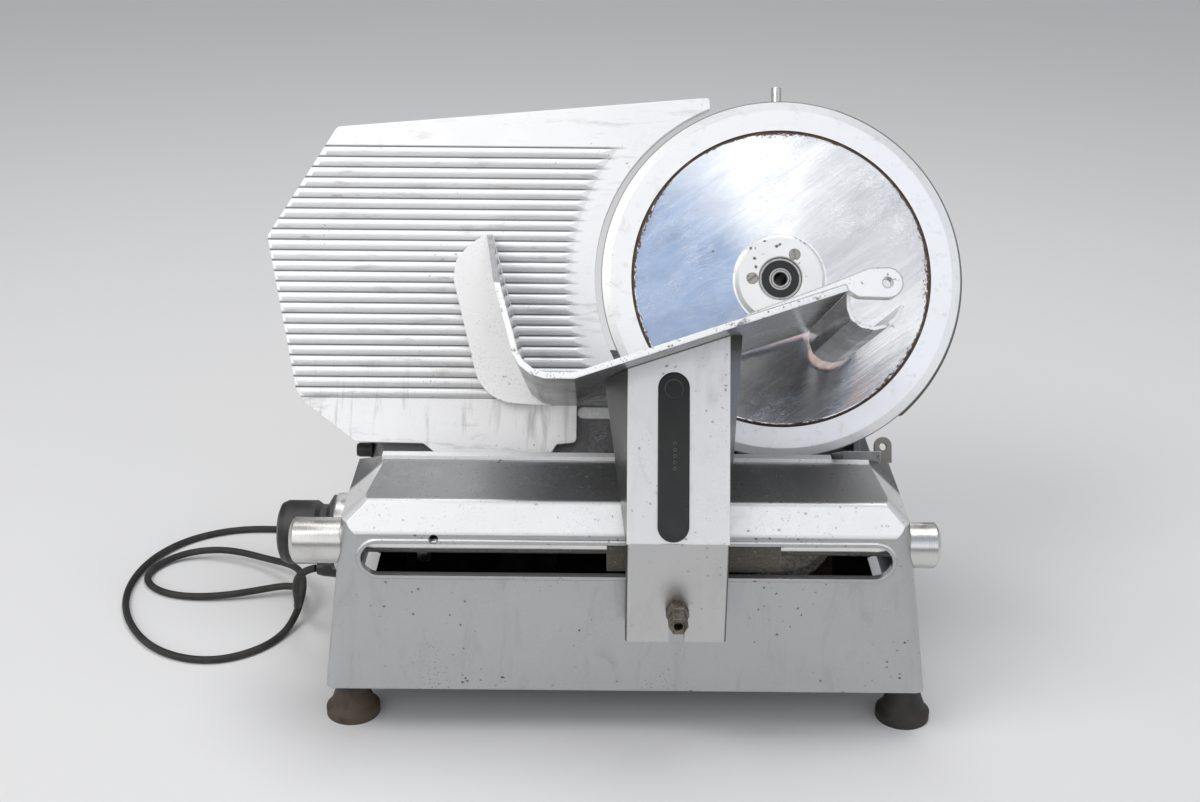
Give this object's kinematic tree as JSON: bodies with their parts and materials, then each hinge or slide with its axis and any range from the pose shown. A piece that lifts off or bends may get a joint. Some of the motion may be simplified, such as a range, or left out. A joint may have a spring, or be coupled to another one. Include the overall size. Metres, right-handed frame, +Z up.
{
  "type": "gravity feed meat slicer",
  "caption": "Gravity feed meat slicer with a leaning circular blade, ribbed thickness plate, sliding meat table and cast base on rubber feet.",
  "frame": {"origin": "centre of the underside of the front left foot; the floor is Z = 0", "axes": "+X along the carriage travel, away from the operator's end; +Y away from the front face towards the blade; +Z up"},
  "size_m": [0.8436, 0.6282, 0.5],
  "materials": {
    "painted_alu": "satin silver grey cast aluminium, worn",
    "plastic_black": "black plastic, dull with handling",
    "plastic_grey": "charcoal plastic",
    "rubber": "black rubber with dust and rust stains",
    "steel": "plain steel, slightly rusty",
    "rod_steel": "ground and polished rod",
    "turned_alu": "turned aluminium with fine rings",
    "cast_alu": "raw cast aluminium, dull",
    "arm_alu": "satin cast aluminium with wear",
    "polished_alu": "polished sheet with fine scratches",
    "flange_alu": "pale brushed aluminium",
    "anodised": "pale anodised aluminium",
    "blade_steel": "polished hollow ground blade with diagonal polish marks",
    "chrome": "bright plated steel",
    "brass": "bronze bush",
    "bearing": "bearing steel with a black seal",
    "cast_iron": "dark iron, lightly rusted",
    "motor_iron": "dirty cast motor body with rust",
    "cable": "dusty black cable"
  },
  "bodies": {
    "base": {"base_housing": "painted_alu", "bottom_cover": "plastic_black", "feet": "rubber", "foot_screws": "steel", "cover_screws": "steel", "carriage_rod": "rod_steel", "rod_cap_left": "turned_alu", "rod_cap_right": "turned_alu", "guide_bar": "rod_steel", "guide_bar_brackets": "cast_alu", "gauge_guide_bush": "brass", "index_ring": "turned_alu", "bearing_inner_rings": "bearing", "blade_axle": "steel", "axle_nut": "steel", "drive_belt": "rubber", "motor_body": "motor_iron", "motor_bracket": "cast_iron", "tower": "painted_alu", "guard_ring": "cast_alu", "guard_lug": "cast_alu", "sharpener_post": "chrome", "rear_housing": "painted_alu", "rear_rail": "turned_alu", "slice_tray": "polished_alu", "slice_deflector": "polished_alu", "top_rail": "flange_alu", "switch_panel": "plastic_black", "electrical_box": "plastic_black", "cable_gland": "rubber", "power_cable": "cable", "mains_plug": "plastic_black"},
    "carriage": {"carriage_block": "cast_alu", "carriage_bushes": "brass", "roller_pin": "steel", "carriage_column": "arm_alu", "hex_standoff": "chrome", "grip_insert": "plastic_grey", "meat_table": "polished_alu", "table_tab": "cast_alu", "table_gutter": "polished_alu", "hand_guard_flange": "flange_alu"},
    "roller": {"guide_roller": "plastic_black"},
    "gauge": {"gauge_plate": "anodised", "gauge_carrier": "cast_alu", "gauge_guide_rod": "rod_steel"},
    "knob": {"thickness_knob": "plastic_black", "thickness_shaft": "steel", "thickness_cam": "steel"},
    "blade_rotor": {"blade": "blade_steel", "blade_boss": "turned_alu", "hub_screws": "steel", "pulley_hub": "cast_alu", "bearing_outer_rings": "bearing", "blade_pulley": "cast_iron"},
    "motor_rotor": {"motor_pulley": "steel", "motor_shaft": "steel"},
    "switch": {"switch_button": "plastic_black"}
  },
  "joints": [
    {"name": "carriage_slide", "type": "slide", "parent": "base", "child": "carriage", "axis": [1, 0, 0], "range_m": [-0.205, 0.09]},
    {"name": "roller_spin", "type": "hinge", "parent": "carriage", "child": "roller", "pos_m": [0.306, -0.011, 0.12805], "axis": [0, 1, 0], "continuous": true},
    {"name": "gauge_slide", "type": "slide", "parent": "base", "child": "gauge", "axis": [0, 0.8829, -0.4695], "range_m": [0, 0.013]},
    {"name": "knob_turn", "type": "hinge", "parent": "base", "child": "knob", "pos_m": [-0.009, 0.05, 0.158], "axis": [-1, 0, 0], "range_deg": [0, 300]},
    {"name": "blade_spin", "type": "hinge", "parent": "base", "child": "blade_rotor", "pos_m": [0.399, 0.238, 0.342], "axis": [0, -0.8829, 0.4695], "continuous": true},
    {"name": "motor_spin", "type": "hinge", "parent": "base", "child": "motor_rotor", "pos_m": [0.392, 0.169, 0.10574], "axis": [0, -0.8829, 0.4695], "continuous": true},
    {"name": "switch_press", "type": "slide", "parent": "base", "child": "switch", "axis": [1, 0, 0], "range_m": [0, 0.003], "stiffness_N_per_m": 400}
  ],
  "couplings": [
    {"joint": "roller_spin", "follows": "carriage_slide", "rad_per_m": 125},
    {"joint": "knob_turn", "follows": "gauge_slide", "rad_per_m": 402.76},
    {"joint": "motor_spin", "follows": "blade_spin", "ratio": 2.7273}
  ]
}
